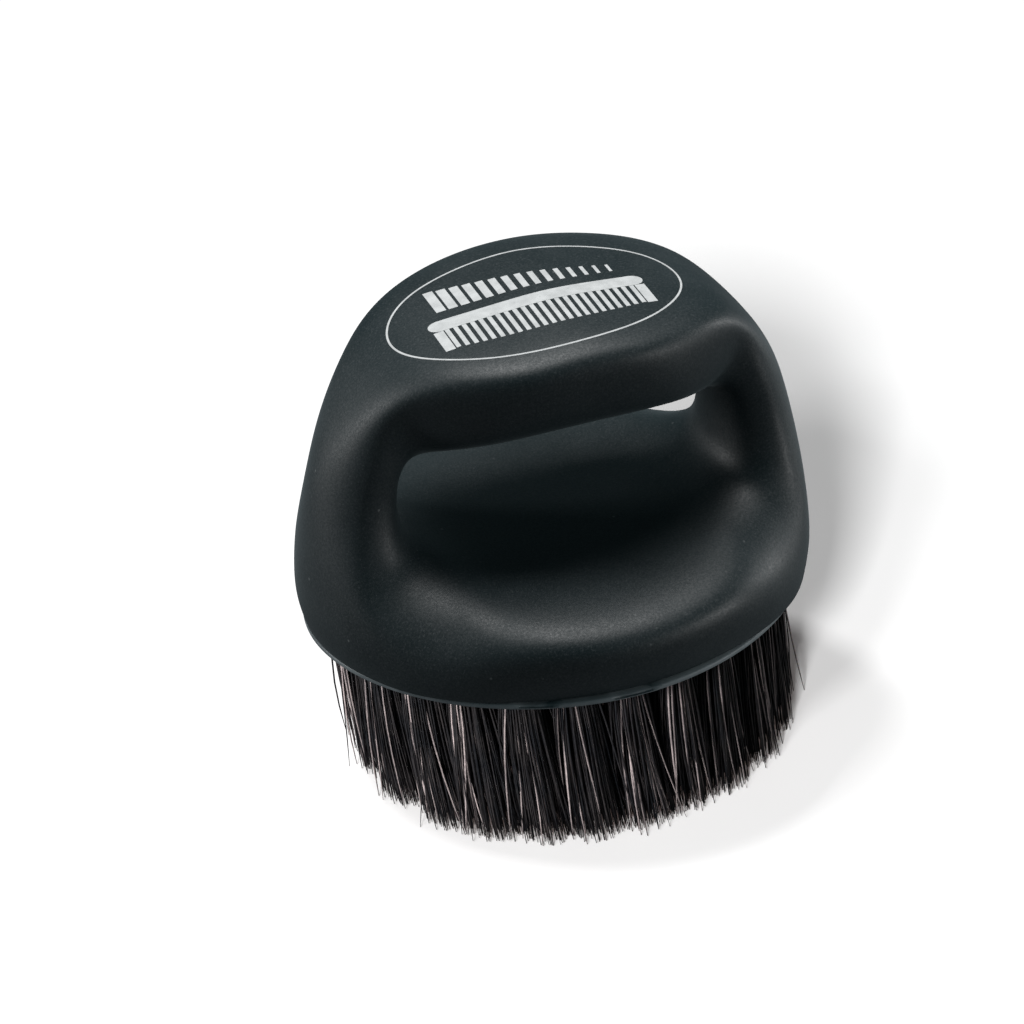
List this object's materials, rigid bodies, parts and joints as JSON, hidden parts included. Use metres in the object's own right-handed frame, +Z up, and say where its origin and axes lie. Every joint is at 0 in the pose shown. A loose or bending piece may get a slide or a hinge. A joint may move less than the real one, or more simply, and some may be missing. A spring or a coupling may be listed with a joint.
{
  "type": "fade brush",
  "caption": "Palm-size oval fade brush: a moulded black D-loop finger handle on a flat-trimmed field of short stiff bristle for sweeping cut hair off neck and hairline.",
  "frame": {"origin": "centre of the flat plane of the trimmed bristle tips, which the brush stands on", "axes": "+Z up from the bristle tips to the thumb pad, +X along the finger loop from one post to the other, -Y the side that faces the user"},
  "size_m": [0.084, 0.0724, 0.0806],
  "materials": {
    "soft_touch_black": "fine-grained soft-touch matte black",
    "plate_black": "satin moulded black",
    "bristle_black": "stiff black bristle with some brown-grey hairs, cut flat",
    "drawn_wire": "plain drawn steel wire"
  },
  "bodies": {
    "root": {"handle_shell": "soft_touch_black", "bristle_plate": "plate_black", "wire_outer": "drawn_wire", "wire_middle": "drawn_wire", "wire_inner": "drawn_wire", "wire_centre": "drawn_wire", "tuft_outer_01": "bristle_black", "tuft_outer_02": "bristle_black", "tuft_outer_03": "bristle_black", "tuft_outer_04": "bristle_black", "tuft_outer_05": "bristle_black", "tuft_outer_06": "bristle_black", "tuft_outer_07": "bristle_black", "tuft_outer_08": "bristle_black", "tuft_outer_09": "bristle_black", "tuft_outer_10": "bristle_black", "tuft_outer_11": "bristle_black", "tuft_outer_12": "bristle_black", "tuft_outer_13": "bristle_black", "tuft_outer_14": "bristle_black", "tuft_outer_15": "bristle_black", "tuft_outer_16": "bristle_black", "tuft_outer_17": "bristle_black", "tuft_outer_18": "bristle_black", "tuft_outer_19": "bristle_black", "tuft_outer_20": "bristle_black", "tuft_outer_21": "bristle_black", "tuft_outer_22": "bristle_black", "tuft_outer_23": "bristle_black", "tuft_outer_24": "bristle_black", "tuft_middle_01": "bristle_black", "tuft_middle_02": "bristle_black", "tuft_middle_03": "bristle_black", "tuft_middle_04": "bristle_black", "tuft_middle_05": "bristle_black", "tuft_middle_06": "bristle_black", "tuft_middle_07": "bristle_black", "tuft_middle_08": "bristle_black", "tuft_middle_09": "bristle_black", "tuft_middle_10": "bristle_black", "tuft_middle_11": "bristle_black", "tuft_middle_12": "bristle_black", "tuft_middle_13": "bristle_black", "tuft_middle_14": "bristle_black", "tuft_middle_15": "bristle_black", "tuft_middle_16": "bristle_black", "tuft_inner_01": "bristle_black", "tuft_inner_02": "bristle_black", "tuft_inner_03": "bristle_black", "tuft_inner_04": "bristle_black", "tuft_inner_05": "bristle_black", "tuft_inner_06": "bristle_black", "tuft_inner_07": "bristle_black", "tuft_inner_08": "bristle_black", "tuft_inner_09": "bristle_black", "tuft_inner_10": "bristle_black", "tuft_centre_01": "bristle_black", "tuft_centre_02": "bristle_black", "tuft_centre_03": "bristle_black"}
  },
  "joints": []
}
